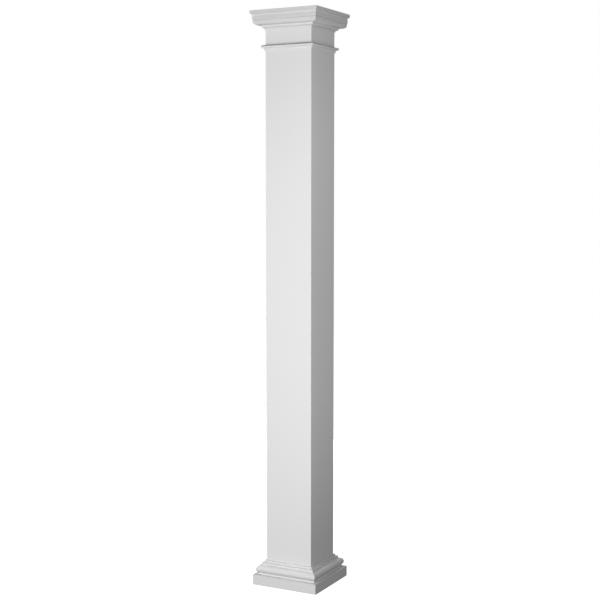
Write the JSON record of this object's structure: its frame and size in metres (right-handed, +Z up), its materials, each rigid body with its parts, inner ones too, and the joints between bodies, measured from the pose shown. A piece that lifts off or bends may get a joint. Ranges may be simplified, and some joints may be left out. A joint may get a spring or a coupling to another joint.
{
  "type": "square column",
  "caption": "Square column: a hollow untapered shaft with a plinth and base moulding at its foot, a plain neck over a thin astragal, and a crown cap.",
  "frame": {"origin": "centre of the underside, on the column's axis", "axes": "+Z up along the column's axis, with the four faces square to X and Y; all four faces are alike"},
  "size_m": [0.3122, 0.3122, 2.4384],
  "materials": {
    "shaft_white": "smooth white satin",
    "trim_white": "smooth white satin"
  },
  "bodies": {
    "root": {"shaft": "shaft_white", "plinth": "trim_white", "base_moulding": "trim_white", "astragal": "trim_white", "cap": "trim_white"}
  },
  "joints": []
}
